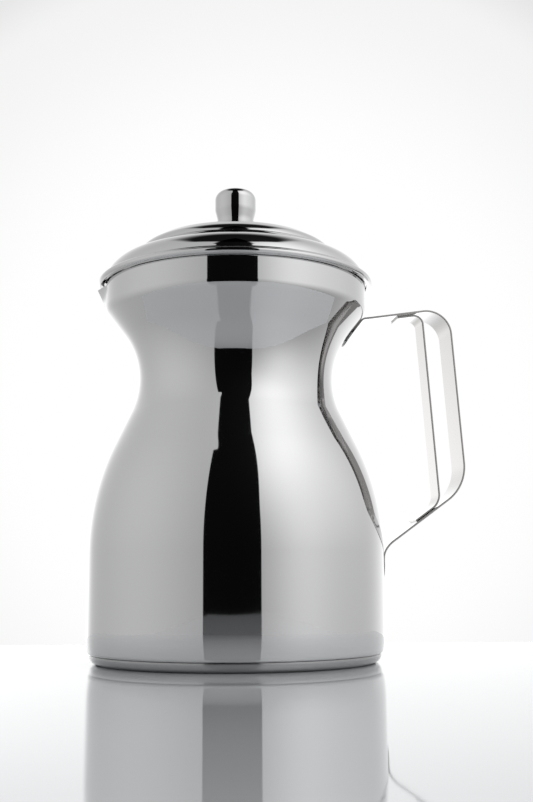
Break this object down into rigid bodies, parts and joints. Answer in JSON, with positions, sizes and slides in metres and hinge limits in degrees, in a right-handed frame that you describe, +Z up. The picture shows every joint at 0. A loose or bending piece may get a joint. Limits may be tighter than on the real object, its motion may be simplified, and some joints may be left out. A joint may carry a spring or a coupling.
{
  "type": "coffee pot",
  "caption": "Waisted stovetop coffee pot in polished steel with a V-shaped pouring lip, a double strap handle and a stepped lift-off lid with a turned knob.",
  "frame": {"origin": "centre of the base's underside, on the pot's axis", "axes": "+Z up, +X out along the handle, -X towards the pouring lip, +Y to the left seen from the lip's side"},
  "size_m": [0.1953, 0.1508, 0.2478],
  "materials": {
    "polished_steel": "mirror polish",
    "strap_steel": "fine polish",
    "satin_steel": "satin",
    "disc_aluminium": "satin"
  },
  "bodies": {
    "pot": {"pot_body": "polished_steel", "heat_disc": "disc_aluminium", "base_cap": "polished_steel", "outer_strap": "strap_steel", "grip_strap": "strap_steel"},
    "lid": {"lid_shell": "polished_steel", "lid_ring": "satin_steel", "knob": "polished_steel", "knob_screw": "satin_steel", "knob_washer": "satin_steel"}
  },
  "joints": [
    {"name": "lid_lift", "type": "slide", "parent": "pot", "child": "lid", "axis": [0, 0, 1], "range_m": [0, 0.08]}
  ]
}
